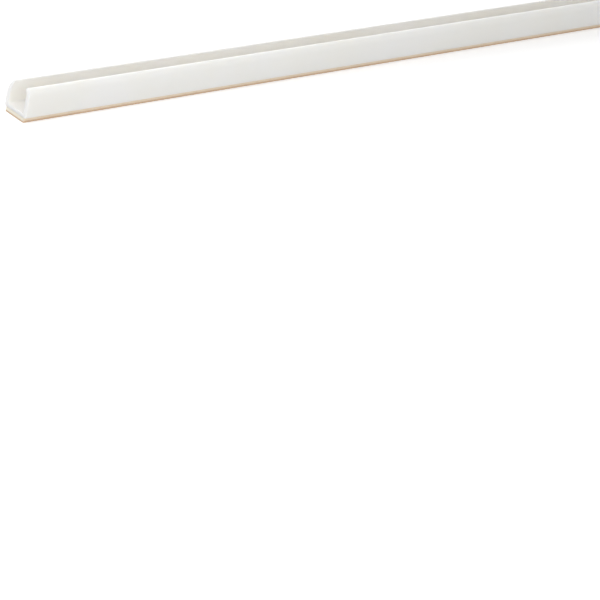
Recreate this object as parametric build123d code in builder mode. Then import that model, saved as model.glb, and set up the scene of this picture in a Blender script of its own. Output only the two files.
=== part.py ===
"""Self-adhesive cord cover raceway: a white PVC channel on foam tape that keeps its release liner.

The channel is an extrusion of one section. Its back wall rises straight, then bends over the cord space and
thins to a lip. Its front wall rises straight and bends in to a blunt rounded lip. A cord is pressed in through
the slot between the lips.

Frame: +X along the length, -Y towards the front wall, +Z up, origin under the middle of the liner. Millimetres.
"""

import os

from build123d import *

# Length of one section as it is sold: 17 inches.
length = 431.8

# Adhesive strip under the base.
liner_thickness = 0.15
foam_thickness = 1.7
tape_width = 10.5

# Base and walls of the channel.
channel_width = 12.7
base_thickness = 1.45
wall_thickness = 1.85
floor_fillet = 0.8
foot_radius = 0.85

# Back wall: straight part above the underside of the base, then the bend and the thin lip.
back_straight = 4.55
back_radius = 9.15
back_sweep = 46.0
back_lip = 0.75

# Front wall, in the same order.
front_straight = 8.6
front_radius = 4.0
front_sweep = 39.0
front_lip = 1.85

# Levels and faces that several features share.
half_width = channel_width / 2
inner_half_width = half_width - wall_thickness
base_z = liner_thickness + foam_thickness
floor_z = base_z + base_thickness
back_bend_z = base_z + back_straight
front_bend_z = base_z + front_straight
quarter_turn = 90.0

# Channel: the section is drawn in the YZ plane, counter-clockwise from the foot of the back wall.
with BuildPart() as channel:
    with BuildSketch(Plane.YZ.offset(-length / 2)) as section:
        with BuildLine() as outline:
            back_face = Line((half_width, base_z), (half_width, back_bend_z))
            back_bend = JernArc(back_face @ 1, back_face % 1, back_radius, back_sweep)
            back_across = (back_bend % 1).rotate(Axis.Z, quarter_turn) * back_lip
            back_tip = TangentArc(back_bend @ 1, back_bend @ 1 + back_across, tangent=back_bend % 1)
            back_hollow = TangentArc((inner_half_width, back_bend_z), back_tip @ 1, tangent=(0, 1))
            front_face = Line((-half_width, base_z), (-half_width, front_bend_z))
            front_bend = JernArc(front_face @ 1, front_face % 1, front_radius, -front_sweep)
            front_across = (front_bend % 1).rotate(Axis.Z, -quarter_turn) * front_lip
            front_tip = TangentArc(front_bend @ 1, front_bend @ 1 + front_across, tangent=front_bend % 1)
            front_hollow = TangentArc((-inner_half_width, front_bend_z), front_tip @ 1, tangent=(0, 1))
            Polyline(
                back_hollow @ 0,
                (inner_half_width, floor_z),
                (-inner_half_width, floor_z),
                front_hollow @ 0,
            )
            Line(front_face @ 0, back_face @ 0)
        make_face()
        fillet(section.vertices().group_by(Axis.Y)[1], radius=floor_fillet)
        fillet(section.vertices().group_by(Axis.Y)[0], radius=foot_radius)
    extrude(amount=length)

# Foam tape: a flat strip, centred under the base.
with BuildPart() as foam_tape:
    with Locations((0, 0, liner_thickness)):
        Box(length, tape_width, foam_thickness, align=(Align.CENTER, Align.CENTER, Align.MIN))

# Release liner: covers the sticky underside of the tape until the raceway is put up.
with BuildPart() as release_liner:
    Box(length, tape_width, liner_thickness, align=(Align.CENTER, Align.CENTER, Align.MIN))

# One STEP file for each piece.
os.makedirs("parts", exist_ok=True)
channel.part.label = "channel"
export_step(channel.part, "parts/channel.step")
foam_tape.part.label = "foam_tape"
export_step(foam_tape.part, "parts/foam_tape.step")
release_liner.part.label = "release_liner"
export_step(release_liner.part, "parts/release_liner.step")

print("channel section area, mm2:", round(channel.part.volume / length, 2))
print("overall height, mm:", round(channel.part.bounding_box().max.Z, 3))
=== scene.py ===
# %% [markdown]
# # A cord cover raceway, dressed in Blender
# The object is one straight length of white PVC channel. A cord is pressed in through the slot on top, and a
# strip of foam tape under the base holds the channel to a wall. The tape still has its paper liner.
# The sizes were settled in CAD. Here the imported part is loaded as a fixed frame, and each piece is modelled
# again in the same place with the small things that CAD leaves out: eased edges, foam cells, paper fibres
# and saw marks.

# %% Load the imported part
import math

import bmesh
import bpy
from mathutils import Matrix, Vector, noise


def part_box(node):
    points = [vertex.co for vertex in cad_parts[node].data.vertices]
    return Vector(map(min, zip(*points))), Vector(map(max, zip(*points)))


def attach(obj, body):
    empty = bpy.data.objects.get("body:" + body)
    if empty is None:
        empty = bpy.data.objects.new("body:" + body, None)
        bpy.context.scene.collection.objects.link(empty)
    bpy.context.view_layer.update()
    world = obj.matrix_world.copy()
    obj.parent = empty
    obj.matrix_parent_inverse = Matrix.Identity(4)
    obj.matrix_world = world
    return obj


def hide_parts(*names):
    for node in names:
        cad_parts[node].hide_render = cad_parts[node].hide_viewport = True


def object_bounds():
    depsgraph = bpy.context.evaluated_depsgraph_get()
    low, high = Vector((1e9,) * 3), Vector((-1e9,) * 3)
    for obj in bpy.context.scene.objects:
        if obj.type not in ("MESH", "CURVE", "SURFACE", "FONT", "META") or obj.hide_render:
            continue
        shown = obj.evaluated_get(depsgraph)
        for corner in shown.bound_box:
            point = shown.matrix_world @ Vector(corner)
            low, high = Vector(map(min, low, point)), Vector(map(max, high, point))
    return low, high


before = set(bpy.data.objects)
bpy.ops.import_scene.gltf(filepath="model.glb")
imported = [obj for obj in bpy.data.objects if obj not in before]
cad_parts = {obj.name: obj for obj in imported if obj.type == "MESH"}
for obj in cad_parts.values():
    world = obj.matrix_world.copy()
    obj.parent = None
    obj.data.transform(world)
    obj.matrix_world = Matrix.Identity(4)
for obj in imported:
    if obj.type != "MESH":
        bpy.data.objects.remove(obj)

mm = 0.001


def in_mm(lengths):
    return [round(length / mm, 2) for length in lengths]


cad_low, cad_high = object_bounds()
scene = bpy.context.scene
scene.view_settings.view_transform = "Standard"
print("nodes:", sorted(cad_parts))
print("CAD box, mm:", in_mm(cad_high - cad_low))

# %% [markdown]
# ## The camera
# The photograph was taken with a long lens from the front left, a little above the channel, and the picture
# is tilted. The edges of the channel run almost parallel, so the slopes of its top and bottom lines and the
# shape of the near end give the turn, the tilt and the lens. A camera is a pose: turn about the upright axis,
# tilt down, then lean in the picture plane. The near end of the base is put on its own pixel by sliding the
# camera sideways, which keeps the lens shift at zero.

# %% Place the camera
picture = 600
focal_pixels = 2476.0
near_base_pixel = (14.964, 112.193)
distance = 887.85 * mm
turn, tilt, lean = math.radians(-48.998), math.radians(26.573), math.radians(13.169)
sensor_width = 36
nearest, farthest = 0.01, 50

near_end, far_end = cad_low.x, cad_high.x
base_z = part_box("channel")[0].z
aim = (Matrix.Rotation(turn, 3, "Z") @ Matrix.Rotation(math.pi / 2 - tilt, 3, "X")
       @ Matrix.Rotation(lean, 3, "Z"))
metres_per_pixel = distance / focal_pixels
slide = Vector(((picture / 2 - near_base_pixel[0]) * metres_per_pixel,
                (near_base_pixel[1] - picture / 2) * metres_per_pixel, distance))
camera = bpy.data.objects.new("camera", bpy.data.cameras.new("camera"))
scene.collection.objects.link(camera)
camera.matrix_world = Matrix.Translation(Vector((near_end, 0, base_z)) + aim @ slide) @ aim.to_4x4()
camera.data.sensor_width = sensor_width
camera.data.lens = sensor_width * focal_pixels / picture
camera.data.clip_start, camera.data.clip_end = nearest, farthest
scene.camera = camera
print("camera at, mm:", in_mm(camera.matrix_world.translation))
print("lens, mm:", round(camera.data.lens, 1))

# %% [markdown]
# ## A pen that draws a section
# An extrusion starts as a flat outline. One vertex can draw it: extruding the vertex and moving the copy draws
# a straight run, and the spin operator drags it round a centre for a bend. Both leave edges behind them, so
# the outline is ready to fill. This follows the drawing of the real die, run by run, and needs no list of
# points.

# %% Make the pen
def start_pen(outline, y, z):
    return bmesh.ops.create_vert(outline, co=(near_end, y, z))["vert"][0]


def go_to(outline, pen, y, z):
    moved = bmesh.ops.extrude_vert_indiv(outline, verts=[pen])["verts"][0]
    bmesh.ops.translate(outline, verts=[moved], vec=Vector((near_end, y, z)) - moved.co)
    return moved


def bend_round(outline, pen, centre, degrees, steps):
    swept = bmesh.ops.spin(outline, geom=[pen], cent=centre, axis=(1, 0, 0), angle=math.radians(degrees),
                           steps=steps)
    return next(part for part in swept["geom_last"] if isinstance(part, bmesh.types.BMVert))


print("pen ready at x =", round(near_end / mm, 1), "mm")

# %% [markdown]
# ## The section of the channel
# The base is flat. The back wall rises, bends over the cord space in a wide curve and thins to a springy lip.
# The front wall stays upright for longer, then turns in to a blunt round lip at about the same height. The
# lips leave the slot between them. The numbers are the ones in the CAD source, in millimetres, and the levels
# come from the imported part. The pen goes round with the plastic on its left: along the underside, up the
# back, over the lip, down inside, across the floor and back over the front wall.

# %% Draw the base and the back wall
quarter_turn, half_turn = 90, 180
corner_steps = 6
half_width = cad_high.y
wall, base_thickness = 1.85 * mm, 1.45 * mm
floor_fillet, foot = 0.8 * mm, 0.85 * mm
back_straight, back_radius, back_sweep, back_lip = 4.55 * mm, 9.15 * mm, 46, 0.75 * mm
inner = half_width - wall
floor_z = base_z + base_thickness
back_bend_z = base_z + back_straight

channel_mesh = bmesh.new()
pen = start_pen(channel_mesh, foot - half_width, base_z)
pen = go_to(channel_mesh, pen, half_width - foot, base_z)
foot_centre = (near_end, half_width - foot, base_z + foot)
pen = bend_round(channel_mesh, pen, foot_centre, quarter_turn, corner_steps)
pen = go_to(channel_mesh, pen, half_width, back_bend_z)
back_centre = Vector((near_end, half_width - back_radius, back_bend_z))
pen = bend_round(channel_mesh, pen, back_centre, back_sweep, steps=20)
tip_centre = pen.co + (back_centre - pen.co).normalized() * back_lip / 2
pen = bend_round(channel_mesh, pen, tip_centre, half_turn, steps=8)
print("back lip reaches, mm:", in_mm(pen.co.yz))

# %% [markdown]
# The hollow side of a bend meets its wall smoothly, and it has to end at the lip. A circle that stands upright
# on the wall face and passes through a given point has one radius, from the sideways and upward distance to
# that point.

# %% Draw the inside
def hollow_radius(sideways, upwards):
    return (sideways ** 2 + upwards ** 2) / (2 * abs(sideways))


radius = hollow_radius(pen.co.y - inner, pen.co.z - back_bend_z)
sweep = math.degrees(math.asin((pen.co.z - back_bend_z) / radius))
pen = bend_round(channel_mesh, pen, (near_end, inner - radius, back_bend_z), -sweep, steps=18)
pen = go_to(channel_mesh, pen, inner, floor_z + floor_fillet)
fillet_centre = (near_end, inner - floor_fillet, floor_z + floor_fillet)
pen = bend_round(channel_mesh, pen, fillet_centre, -quarter_turn, corner_steps)
pen = go_to(channel_mesh, pen, floor_fillet - inner, floor_z)
fillet_centre = (near_end, floor_fillet - inner, floor_z + floor_fillet)
pen = bend_round(channel_mesh, pen, fillet_centre, -quarter_turn, corner_steps)
print("cord space, mm wide:", round(2 * inner / mm, 2), "hollow radius, mm:", round(radius / mm, 2))

# %% Draw the front wall and close the outline
front_straight, front_radius, front_sweep, front_lip = 8.6 * mm, 4 * mm, 39, 1.85 * mm
front_bend_z = base_z + front_straight
merge_gap = 0.001 * mm

front_centre = Vector((near_end, front_radius - half_width, front_bend_z))
to_lip = Matrix.Rotation(math.radians(-front_sweep), 3, "X") @ Vector((0, -1, 0))
lip_inside = front_centre + to_lip * (front_radius - front_lip)
lip_centre = front_centre + to_lip * (front_radius - front_lip / 2)
radius = hollow_radius(lip_inside.y + inner, lip_inside.z - front_bend_z)
sweep = math.degrees(math.asin((lip_inside.z - front_bend_z) / radius))
pen = go_to(channel_mesh, pen, -inner, front_bend_z)
pen = bend_round(channel_mesh, pen, (near_end, radius - inner, front_bend_z), -sweep, steps=8)
pen = bend_round(channel_mesh, pen, lip_centre, half_turn, steps=12)
pen = bend_round(channel_mesh, pen, front_centre, front_sweep, steps=12)
pen = go_to(channel_mesh, pen, -half_width, base_z + foot)
foot_centre = (near_end, foot - half_width, base_z + foot)
pen = bend_round(channel_mesh, pen, foot_centre, quarter_turn, corner_steps)
bmesh.ops.remove_doubles(channel_mesh, verts=channel_mesh.verts, dist=merge_gap)
open_ends = sum(len(vert.link_edges) != 2 for vert in channel_mesh.verts)
print("outline points:", len(channel_mesh.verts), "open ends:", open_ends)

# %% [markdown]
# ## From section to length
# The die pushes out the same section without end, and a saw cuts it. So the outline is filled, extruded to the
# full length, and its two cut rims are eased by a tenth of a millimetre, as a saw and a wipe leave them. Cuts
# across the length then let the thin lip wander by a few hundredths of a millimetre, because thin PVC never
# cools quite straight. A smooth noise, read along a row of its own, gives the wander. The lip only ever goes
# inwards, so the part stays in its box.

# %% Extrude the channel and ease its ends
def reach_along(edge):
    return abs(edge.verts[0].co.x - edge.verts[1].co.x)


rim_ease = 0.12 * mm
section_face = bmesh.ops.edgeloop_fill(channel_mesh, edges=channel_mesh.edges)["faces"]
pushed = bmesh.ops.extrude_face_region(channel_mesh, geom=section_face)["geom"]
pushed_verts = [part for part in pushed if isinstance(part, bmesh.types.BMVert)]
bmesh.ops.translate(channel_mesh, verts=pushed_verts, vec=(far_end - near_end, 0, 0))
bmesh.ops.recalc_face_normals(channel_mesh, faces=channel_mesh.faces)
rims = [edge for edge in channel_mesh.edges if reach_along(edge) < mm]
bmesh.ops.bevel(channel_mesh, geom=rims, offset=rim_ease, offset_type="OFFSET", affect="EDGES", segments=3,
                profile=0.5, material=-1)
loose_rims = sum(not edge.is_manifold for edge in channel_mesh.edges)
print("channel faces:", len(channel_mesh.faces), "loose rims:", loose_rims)

# %% Let the thin lip wander
def uneven(x, grain, row, seed):
    return 0.5 + 0.5 * noise.noise(Vector((x / grain, row, seed)))


lip_wander, lip_grain, lip_row, lip_seed = 0.05 * mm, 55 * mm, 0.3, 7.1
lip_cuts, long_run = 63, 100 * mm
runs = [edge for edge in channel_mesh.edges if reach_along(edge) > long_run]
bmesh.ops.subdivide_edges(channel_mesh, edges=runs, cuts=lip_cuts, use_grid_fill=True)
for vert in channel_mesh.verts:
    height = (vert.co.z - back_bend_z) / (cad_high.z - back_bend_z)
    if vert.co.y > 0 and height > 0:
        sag = uneven(vert.co.x, lip_grain, lip_row, lip_seed)
        vert.co.z -= lip_wander * sag * height ** 2
print("channel triangles:", sum(len(face.verts) - 2 for face in channel_mesh.faces))

# %% [markdown]
# ## Handing a shape over as a piece
# A finished shape becomes an object at the origin, rides on the part's one body, and stands for its CAD node,
# which stays behind for collision. Long curved faces are shaded smooth, edges that turn sharply stay crisp,
# and the flat cut ends keep their own flat shading, so that no shading leaks on to them from the eased rims.

# %% Make a piece of the channel
faces_the_end = 0.999


def hand_over(shape, name, crisp_degrees=40):
    for face in shape.faces:
        face.smooth = abs(face.normal.x) < faces_the_end
    mesh = bpy.data.meshes.new(name)
    shape.to_mesh(mesh)
    shape.free()
    mesh.set_sharp_from_angle(angle=math.radians(crisp_degrees))
    piece = bpy.data.objects.new(name, mesh)
    scene.collection.objects.link(piece)
    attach(piece, "root")
    return piece


pvc_channel = hand_over(channel_mesh, "pvc_channel")
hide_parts("channel")
print("piece:", pvc_channel.name, "polygons:", len(pvc_channel.data.polygons))

# %% [markdown]
# ## The foam tape
# The tape is a strip of closed-cell foam with adhesive on both faces. It is slit from a wide roll, so its
# sides are never quite flat: the knife drags the foam, and the middle of the strip pulls in between its two
# sticky faces. A cube stretched to the size of the CAD solid and cut across gives a strip whose side points
# can be pushed in by a smooth random amount. A pattern of bumps alone would keep the edge dead straight in
# close views.

# %% Cut and shape the tape
nearly_along = 0.9
side_row = 3.7


def lies_along(edge, axis):
    return abs((edge.verts[0].co - edge.verts[1].co).normalized()[axis]) > nearly_along


def strip_in(node, cuts_along, cuts_up):
    low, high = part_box(node)
    strip = bmesh.new()
    bmesh.ops.create_cube(strip, size=1)
    bmesh.ops.scale(strip, verts=strip.verts, vec=high - low)
    bmesh.ops.translate(strip, verts=strip.verts, vec=(low + high) / 2)
    for axis, cuts in ((0, cuts_along), (2, cuts_up)):
        if cuts:
            edges = [edge for edge in strip.edges if lies_along(edge, axis)]
            bmesh.ops.subdivide_edges(strip, edges=edges, cuts=cuts, use_grid_fill=True)
    return strip, low, high


side_pull, slit_wander, slit_grain, slit_seed = 0.09 * mm, 0.1 * mm, 6 * mm, 2.4
tape_mesh, tape_low, tape_high = strip_in("foam_tape", cuts_along=239, cuts_up=3)
for vert in tape_mesh.verts:
    side = math.copysign(1, vert.co.y)
    level = 2 * (vert.co.z - tape_low.z) / (tape_high.z - tape_low.z) - 1
    drag = slit_wander * uneven(vert.co.x, slit_grain, side * side_row, slit_seed)
    vert.co.y -= side * (side_pull * (1 - level ** 2) + drag)
foam_tape = hand_over(tape_mesh, "foam_strip", crisp_degrees=60)
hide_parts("foam_tape")
print("tape, mm:", in_mm(tape_high - tape_low), "polygons:", len(foam_tape.data.polygons))

# %% [markdown]
# ## The release liner
# The liner is one sheet of coated kraft paper, cut with the tape. The paper is stiffer than the foam and keeps
# a cleaner edge, with only a slow wander from the slitting knife. It is made with the same strip helper and a
# longer, smaller unevenness.

# %% Cut the liner
liner_wander, liner_grain, liner_seed = 0.06 * mm, 35 * mm, 8.2
liner_mesh, liner_low, liner_high = strip_in("release_liner", cuts_along=119, cuts_up=0)
for vert in liner_mesh.verts:
    side = math.copysign(1, vert.co.y)
    vert.co.y -= side * liner_wander * uneven(vert.co.x, liner_grain, side * side_row, liner_seed)
paper_liner = hand_over(liner_mesh, "paper_liner", crisp_degrees=60)
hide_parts("release_liner")
print("liner, mm:", in_mm(liner_high - liner_low))

# %% [markdown]
# ## Effects that the finishes share
# Three effects turn up in more than one material, so each is a node group with named sockets: a slow drift of
# tone, fine lines along the length, and the marks on a cut end. A group is built once and placed in each
# material with its own values. All of them read Object coordinates, which are metres along the real part, so
# their scale is real too. A few helpers keep the wiring short: a value given to a socket is either a number,
# which is set, or another socket, which is linked.

# %% Make small helpers for nodes
def plug_in(tree, plug, value):
    if isinstance(value, bpy.types.NodeSocket):
        tree.links.new(value, plug)
    else:
        plug.default_value = value


def set_plugs(tree, node, **values):
    for name, value in values.items():
        plug_in(tree, node.inputs[name.replace("_", " ")], value)


def add_node(tree, kind, settings=None, **values):
    node = tree.nodes.new(kind)
    for name, value in (settings or {}).items():
        setattr(node, name, value)
    set_plugs(tree, node, **values)
    return node


def add_math(tree, operation, first, second=0.0):
    node = add_node(tree, "ShaderNodeMath", {"operation": operation})
    for plug, value in zip(node.inputs, (first, second)):
        plug_in(tree, plug, value)
    return node.outputs[0]


def add_ramp(tree, value, smooth=False, **limits):
    settings = {"interpolation_type": "SMOOTHSTEP" if smooth else "LINEAR"}
    return add_node(tree, "ShaderNodeMapRange", settings, Value=value, **limits).outputs[0]


print("node helpers ready")

# %% Make helpers for groups
def new_group(title, inputs, outputs):
    group = bpy.data.node_groups.new(title, "ShaderNodeTree")
    for name, value in inputs.items():
        plug = group.interface.new_socket(name=name, in_out="INPUT", socket_type="NodeSocketFloat")
        plug.default_value = value
    for name in outputs:
        group.interface.new_socket(name=name, in_out="OUTPUT", socket_type="NodeSocketFloat")
    return group, group.nodes.new("NodeGroupInput").outputs, group.nodes.new("NodeGroupOutput")


def place_group(tree, group, **values):
    return add_node(tree, "ShaderNodeGroup", {"node_tree": group}, **values).outputs


def object_place(tree):
    return add_node(tree, "ShaderNodeTexCoord").outputs["Object"]


print("group helpers ready")

# %% [markdown]
# ### Tone drift
# No white plastic, foam or paper has one flat tone. A broad noise with a little finer noise in it makes a mask
# from 0 to 1 that slowly wanders, and the material mixes its two written colours with it.

# %% Build the tone drift
tone_drift, given, result = new_group("tone_drift", {"Patches": 60.0, "Detail": 2.0}, ["Drift"])
clouds = add_node(tone_drift, "ShaderNodeTexNoise", Vector=object_place(tone_drift), Scale=given["Patches"],
                  Detail=given["Detail"], Roughness=0.55)
drift = add_ramp(tone_drift, clouds.outputs[0], smooth=True, From_Min=0.3, From_Max=0.7)
set_plugs(tone_drift, result, Drift=drift)
print("group:", tone_drift.name)

# %% [markdown]
# ### Lines along the length
# A die leaves faint lines along an extrusion, and paper fibres lie along the web they were made on. Noise that
# is stretched a long way in X and squeezed in Y and Z gives such lines on every face that runs along the part.

# %% Build the length lines
length_lines, given, result = new_group("length_lines", {"Across": 1500.0, "Along": 8.0}, ["Lines"])
stretch = add_node(length_lines, "ShaderNodeCombineXYZ", X=given["Along"], Y=given["Across"],
                   Z=given["Across"])
squeezed = add_node(length_lines, "ShaderNodeMapping", Vector=object_place(length_lines),
                    Scale=stretch.outputs[0])
streaks = add_node(length_lines, "ShaderNodeTexNoise", Vector=squeezed.outputs[0], Scale=1.0, Detail=2.0,
                   Roughness=0.5)
lines = add_ramp(length_lines, streaks.outputs[0], From_Min=0.25, From_Max=0.75)
set_plugs(length_lines, result, Lines=lines)
print("group:", length_lines.name)

# %% [markdown]
# ### Cut ends
# A saw goes through channel, tape and liner in one stroke. Its teeth leave fine slanting scratches and a
# duller face. The mask is 1 only in the last fraction of a millimetre at either end, so it lands on the cut
# faces and their rims.

# %% Build the cut ends
mask_full, mask_gone = 0.05 * mm, 0.15 * mm
saw_slant, scratch_stretch = 0.6, 0.06
cut_end, given, result = new_group("cut_end", {"Half length": 0.2, "Scratches": 5200.0}, ["Cut", "Scratch"])
place = object_place(cut_end)
along = add_node(cut_end, "ShaderNodeSeparateXYZ", Vector=place).outputs["X"]
inset = add_math(cut_end, "SUBTRACT", given["Half length"], add_math(cut_end, "ABSOLUTE", along))
mask = add_ramp(cut_end, inset, smooth=True, From_Min=mask_full, From_Max=mask_gone, To_Min=1.0, To_Max=0.0)
slant = add_node(cut_end, "ShaderNodeMapping", Vector=place, Rotation=(saw_slant, 0, 0))
teeth = add_node(cut_end, "ShaderNodeCombineXYZ", X=1.0, Y=given["Scratches"],
                 Z=add_math(cut_end, "MULTIPLY", given["Scratches"], scratch_stretch))
drawn = add_node(cut_end, "ShaderNodeMapping", Vector=slant.outputs[0], Scale=teeth.outputs[0])
scratch = add_node(cut_end, "ShaderNodeTexNoise", Vector=drawn.outputs[0], Scale=1.0, Detail=2.0,
                   Roughness=0.6)
set_plugs(cut_end, result, Cut=mask, Scratch=scratch.outputs[0])
print("group:", cut_end.name)

# %% [markdown]
# ## Mixing a finish
# Each material starts from Blender's own shader. Two written colours are mixed by a mask, and two masks can be
# blended by a share.

# %% Make helpers for finishes
mix_inputs, mix_output = (0, 6, 7), 2  # on a colour mix: factor, first colour, second colour; mixed colour


def new_finish(title):
    finish = bpy.data.materials.new(title)
    finish.use_nodes = True
    return finish, finish.node_tree, finish.node_tree.nodes["Principled BSDF"]


def mix_colours(tree, factor, first, second):
    node = add_node(tree, "ShaderNodeMix", {"data_type": "RGBA"})
    for place_in_mix, value in zip(mix_inputs, (factor, first, second)):
        plug_in(tree, node.inputs[place_in_mix], value)
    return node.outputs[mix_output]


def blend(tree, first, second, share):
    return add_math(tree, "ADD", add_math(tree, "MULTIPLY", first, share),
                    add_math(tree, "MULTIPLY", second, 1 - share))


def add_bump(tree, height, strength, depth):
    return add_node(tree, "ShaderNodeBump", Strength=strength, Distance=depth, Height=height).outputs[0]


half_length = (far_end - near_end) / 2
print("finish helpers ready, half length, mm:", round(half_length / mm, 1))

# %% [markdown]
# ## The white PVC
# Cord channel is rigid PVC with white pigment: a warm white with a soft satin gloss. A wall of two millimetres
# is milky, so some light goes through it, and the inside of the channel stays bright where a chalky white
# would go grey. Subsurface scattering over about a millimetre does that. Die lines show only as a slight
# change of gloss along the length, and the sawn ends are whiter and duller. The colour is mixed from two close
# whites by the tone drift, the gloss comes from the lines, and a very low bump lets the lines catch light.

# %% Mix the PVC
clean_white, warm_white = (0.955, 0.934, 0.905, 1), (0.937, 0.912, 0.877, 1)
sawn_white = (0.94, 0.935, 0.923, 1)
satin_low, satin_high, sawn_dull = 0.48, 0.58, 0.7
line_height = 0.12

white_pvc, tree, shader = new_finish("white_pvc")
drift = place_group(tree, tone_drift, Patches=45.0, Detail=3.0)["Drift"]
lines = place_group(tree, length_lines, Across=1900.0, Along=6.0)["Lines"]
ends = place_group(tree, cut_end, Half_length=half_length, Scratches=5200.0)
skin = mix_colours(tree, drift, clean_white, warm_white)
satin = add_ramp(tree, lines, To_Min=satin_low, To_Max=satin_high)
gloss = add_node(tree, "ShaderNodeMix", {"data_type": "FLOAT"}, Factor=ends["Cut"], A=satin, B=sawn_dull)
cut_depth = add_math(tree, "MULTIPLY", ends["Cut"], ends["Scratch"])
relief = add_math(tree, "ADD", add_math(tree, "MULTIPLY", lines, line_height), cut_depth)
set_plugs(tree, shader, Base_Color=mix_colours(tree, ends["Cut"], skin, sawn_white),
          Roughness=gloss.outputs[0], Normal=add_bump(tree, relief, strength=0.25, depth=0.02 * mm),
          IOR=1.5, Specular_IOR_Level=0.3, Subsurface_Weight=1, Subsurface_Radius=(1.0, 0.97, 0.92),
          Subsurface_Scale=1.1 * mm)
pvc_channel.data.materials.append(white_pvc)
print("finish:", white_pvc.name)

# %% [markdown]
# ## The foam
# Mounting foam has round closed cells of a few tenths of a millimetre. On the slit sides they are cut open, so
# each cell is a small pit with its own tone. A Voronoi pattern gives one random tone and one pit to a cell.
# The adhesive soaks into the lowest cells and makes them shinier. Down to the liner the colour is mixed to a
# deeper
# tan: partly the adhesive's own colour, partly painted shade at the foot of the strip, so the strip
# is pale at the top and orange at the bottom. The sawn ends are paler.

# %% Mix the foam
cells_per_metre, soaked_and_shaded = 2600.0, 0.8 * mm
pale_tan, deep_tan = (0.97, 0.84, 0.675, 1), (0.92, 0.765, 0.59, 1)
# The second colour on the next line is the adhesive's deeper tan with painted shade at the foot of the strip
# mixed in.
sawn_tan, glue_and_shade_tan = (0.93, 0.89, 0.765, 1), (0.7, 0.46, 0.28, 1)
foam_dull, glue_sheen = 0.92, 0.5
cell_share, torn_height = 0.55, 0.3

tan_foam, tree, shader = new_finish("tan_foam")
place = object_place(tree)
drift = place_group(tree, tone_drift, Patches=220.0, Detail=2.0)["Drift"]
ends = place_group(tree, cut_end, Half_length=half_length, Scratches=3000.0)
cells = add_node(tree, "ShaderNodeTexVoronoi", Vector=place, Scale=cells_per_metre).outputs
cell_tone = add_node(tree, "ShaderNodeSeparateColor", Color=cells["Color"]).outputs[0]
body = mix_colours(tree, blend(tree, cell_tone, drift, cell_share), pale_tan, deep_tan)
body = mix_colours(tree, ends["Cut"], body, sawn_tan)
height = add_node(tree, "ShaderNodeSeparateXYZ", Vector=place).outputs["Z"]
# Mask that is 1 at the bottom of the strip: the adhesive's colour and sheen, plus painted shade next to the
# liner.
glue_and_shade = add_ramp(tree, height, smooth=True, From_Min=tape_low.z, From_Max=tape_low.z + soaked_and_shaded, To_Min=1.0,
                To_Max=0.0)
pits = add_math(tree, "ADD", cells["Distance"], add_math(tree, "MULTIPLY", ends["Scratch"], torn_height))
set_plugs(tree, shader, Base_Color=mix_colours(tree, glue_and_shade, body, glue_and_shade_tan),
          Roughness=add_ramp(tree, glue_and_shade, To_Min=foam_dull, To_Max=glue_sheen),
          Normal=add_bump(tree, pits, strength=0.6, depth=0.12 * mm), IOR=1.4)
foam_tape.data.materials.append(tan_foam)
print("finish:", tan_foam.name, "cell, mm:", round(1 / cells_per_metre / mm, 2))

# %% [markdown]
# ## The liner paper
# Kraft liner is brown paper with a thin release coat on the side that faces the foam. Its long fibres run with
# the web, so the length lines are used again, shorter and finer than on the PVC, over a cloudy tone.

# %% Mix the liner paper
pale_brown, deep_brown, sawn_brown = (0.64, 0.46, 0.3, 1), (0.5, 0.35, 0.22, 1), (0.5, 0.39, 0.26, 1)
coat_low, coat_high = 0.55, 0.75
fibre_share = 0.6

kraft_paper, tree, shader = new_finish("kraft_paper")
drift = place_group(tree, tone_drift, Patches=420.0, Detail=4.0)["Drift"]
fibres = place_group(tree, length_lines, Across=5200.0, Along=420.0)["Lines"]
ends = place_group(tree, cut_end, Half_length=half_length, Scratches=4000.0)
paper = mix_colours(tree, blend(tree, fibres, drift, fibre_share), pale_brown, deep_brown)
set_plugs(tree, shader, Base_Color=mix_colours(tree, ends["Cut"], paper, sawn_brown),
          Roughness=add_ramp(tree, fibres, To_Min=coat_low, To_Max=coat_high),
          Normal=add_bump(tree, fibres, strength=0.4, depth=0.015 * mm))
paper_liner.data.materials.append(kraft_paper)
print("finish:", kraft_paper.name)

# %% [markdown]
# ## Floor and light
# The photograph is a cut-out look: white all round, and soft light that fades a little towards the far end.
# Three soft lamps hang near the near end, so their light falls off along the channel. A smaller one at the
# left shines down into the open end, a big one hangs in front, and a big one at the back lights the curved
# wall from behind. None hangs straight above, because that would draw a hard bright line along the blunt lip.
# An even pale surround fills the shadows. The floor is pale, and part of its white is shown only to rays that
# look at it straight, in a mirror or through a clear thing, so it adds no light to the part and keeps its
# shadow.

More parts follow.
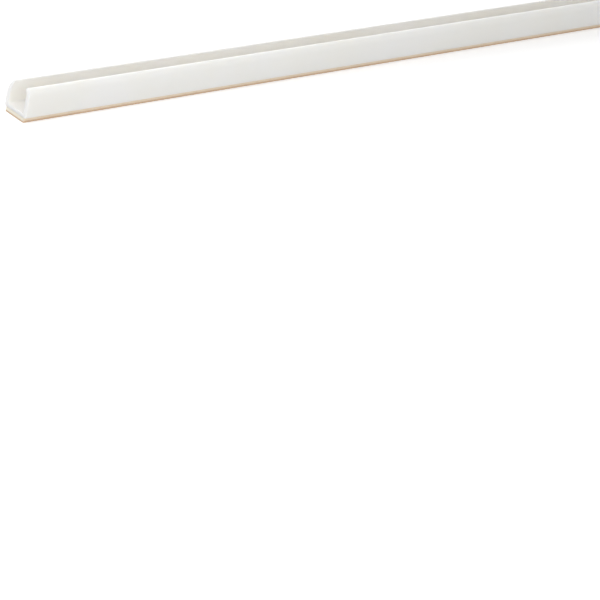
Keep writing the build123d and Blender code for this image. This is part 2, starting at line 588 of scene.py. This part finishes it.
# %% Lay the floor
white = (1, 1, 1, 1)
floor_tone, floor_glow, floor_reach = (0.9, 0.9, 0.9, 1), 0.28, 4


def seen_straight(tree):
    path = add_node(tree, "ShaderNodeLightPath").outputs
    clear = add_math(tree, "MAXIMUM", path["Is Camera Ray"], path["Is Transmission Ray"])
    return add_math(tree, "MAXIMUM", clear, path["Is Glossy Ray"])


floor_shape = bmesh.new()
bmesh.ops.create_grid(floor_shape, x_segments=1, y_segments=1, size=floor_reach)
floor_mesh = bpy.data.meshes.new("floor")
floor_shape.to_mesh(floor_mesh)
floor_shape.free()
floor = bpy.data.objects.new("floor", floor_mesh)
scene.collection.objects.link(floor)

floor_finish, tree, shader = new_finish("pale_floor")
glow = add_math(tree, "MULTIPLY", seen_straight(tree), floor_glow)
set_plugs(tree, shader, Base_Color=floor_tone, Roughness=1, Specular_IOR_Level=0, Emission_Color=white,
          Emission_Strength=glow)
floor_mesh.materials.append(floor_finish)
print("floor laid at z =", round(floor.location.z, 4))

# %% Hang the lights
surround_level = 0.47
lit_spot = Vector((near_end + 110 * mm, 0, 8 * mm))

surround = bpy.data.worlds.new("surround")
scene.world = surround
surround.use_nodes = True
tree = surround.node_tree
strength = add_ramp(tree, seen_straight(tree), To_Min=surround_level, To_Max=1.0)
set_plugs(tree, tree.nodes["Background"], Color=white, Strength=strength)


def hang_lamp(name, towards, watts, away=0.6, size=0.6):
    lamp = bpy.data.objects.new(name, bpy.data.lights.new(name, "AREA"))
    scene.collection.objects.link(lamp)
    lamp.data.shape, lamp.data.size, lamp.data.energy = "DISK", size, watts
    direction = Vector(towards).normalized()
    aimed = direction.to_track_quat("Z", "Y").to_matrix().to_4x4()
    lamp.matrix_world = Matrix.Translation(lit_spot + direction * away) @ aimed


hang_lamp("left_lamp", towards=(-0.6, -0.06, 0.8), watts=0.79, size=0.24)
hang_lamp("front_lamp", towards=(-0.35, -0.69, 0.63), watts=0.99)
hang_lamp("back_lamp", towards=(0.14, 0.72, 0.67), watts=1.58)
